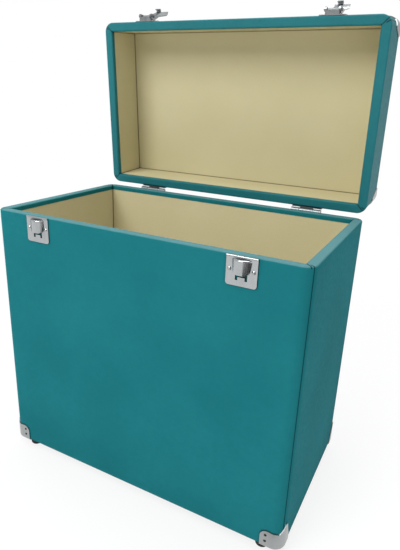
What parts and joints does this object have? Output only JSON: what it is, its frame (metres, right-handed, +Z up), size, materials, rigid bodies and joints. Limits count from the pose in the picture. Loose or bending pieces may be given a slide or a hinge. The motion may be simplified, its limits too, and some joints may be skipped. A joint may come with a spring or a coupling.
{
  "type": "record carrying case",
  "caption": "Tall covered wooden case with a hinged stop lid, draw latches, metal corners, rubber feet and a carrying handle, shown open.",
  "frame": {"origin": "on the floor, under the middle of the open case's bounding box", "axes": "+Z up, +X to the right of the front, +Y from the latches towards the hinges"},
  "size_m": [0.378, 0.3009, 0.5639],
  "materials": {
    "board": "raw board",
    "leathercloth": "embossed grain, satin",
    "lining_cloth": "matt, fine weave",
    "nickel_steel": "satin nickel plate",
    "steel_pins": "plain",
    "foot_rubber": "matt",
    "handle_vinyl": "covered to match the case"
  },
  "bodies": {
    "box": {"base_back_panel": "board", "base_bottom_panel": "board", "base_corner_back_left": "nickel_steel", "base_corner_back_right": "nickel_steel", "base_corner_front_left": "nickel_steel", "base_corner_front_right": "nickel_steel", "base_corner_nails": "nickel_steel", "base_cover": "leathercloth", "base_front_panel": "board", "base_left_panel": "board", "base_lining": "lining_cloth", "base_right_panel": "board", "foot_left_back": "foot_rubber", "foot_left_front": "foot_rubber", "foot_right_back": "foot_rubber", "foot_right_front": "foot_rubber", "foot_screws": "nickel_steel", "hinge_base_screws": "nickel_steel", "hinge_left_base_leaf": "nickel_steel", "hinge_left_pin": "steel_pins", "hinge_right_base_leaf": "nickel_steel", "hinge_right_pin": "steel_pins", "keeper_rivets": "nickel_steel", "latch_left_keeper": "nickel_steel", "latch_right_keeper": "nickel_steel"},
    "lid": {"handle_bracket_left": "nickel_steel", "handle_bracket_right": "nickel_steel", "handle_bracket_screws": "nickel_steel", "handle_pin_left": "steel_pins", "handle_pin_right": "steel_pins", "handle_tee_nuts": "steel_pins", "hinge_left_lid_leaf": "nickel_steel", "hinge_lid_screws": "nickel_steel", "hinge_right_lid_leaf": "nickel_steel", "latch_left_lever_pins": "steel_pins", "latch_left_plate": "nickel_steel", "latch_plate_rivets": "nickel_steel", "latch_right_lever_pins": "steel_pins", "latch_right_plate": "nickel_steel", "lid_back_panel": "board", "lid_corner_back_left": "nickel_steel", "lid_corner_back_right": "nickel_steel", "lid_corner_front_left": "nickel_steel", "lid_corner_front_right": "nickel_steel", "lid_corner_nails": "nickel_steel", "lid_cover": "leathercloth", "lid_front_panel": "board", "lid_left_panel": "board", "lid_lining": "lining_cloth", "lid_right_panel": "board", "lid_top_panel": "board"},
    "handle": {"handle_grip": "handle_vinyl"},
    "latch_claw_left": {"latch_left_claw": "nickel_steel"},
    "latch_lever_left": {"latch_left_claw_pin": "steel_pins", "latch_left_lever": "nickel_steel"},
    "latch_claw_right": {"latch_right_claw": "nickel_steel"},
    "latch_lever_right": {"latch_right_claw_pin": "steel_pins", "latch_right_lever": "nickel_steel"}
  },
  "joints": [
    {"name": "lid_hinge", "type": "hinge", "parent": "box", "child": "lid", "pos_m": [0, 0.07756, 0.3217], "axis": [-1, 0, 0], "range_deg": [-86.26, 0]},
    {"name": "latch_lever_left_turn", "type": "hinge", "parent": "lid", "child": "latch_lever_left", "pos_m": [-0.123, 0.06838, 0.55099], "axis": [1, 0, 0], "range_deg": [0, 135]},
    {"name": "latch_claw_left_turn", "type": "hinge", "parent": "latch_lever_left", "child": "latch_claw_left", "pos_m": [-0.123, 0.07351, 0.55072], "axis": [-1, 0, 0], "range_deg": [-163, 0]},
    {"name": "latch_lever_right_turn", "type": "hinge", "parent": "lid", "child": "latch_lever_right", "pos_m": [0.123, 0.06838, 0.55099], "axis": [1, 0, 0], "range_deg": [0, 135]},
    {"name": "latch_claw_right_turn", "type": "hinge", "parent": "latch_lever_right", "child": "latch_claw_right", "pos_m": [0.123, 0.07351, 0.55072], "axis": [-1, 0, 0], "range_deg": [-163, 0]},
    {"name": "handle_turn", "type": "hinge", "parent": "lid", "child": "handle", "pos_m": [0, 0.14128, 0.43991], "axis": [1, 0, 0], "range_deg": [0, 180]}
  ]
}
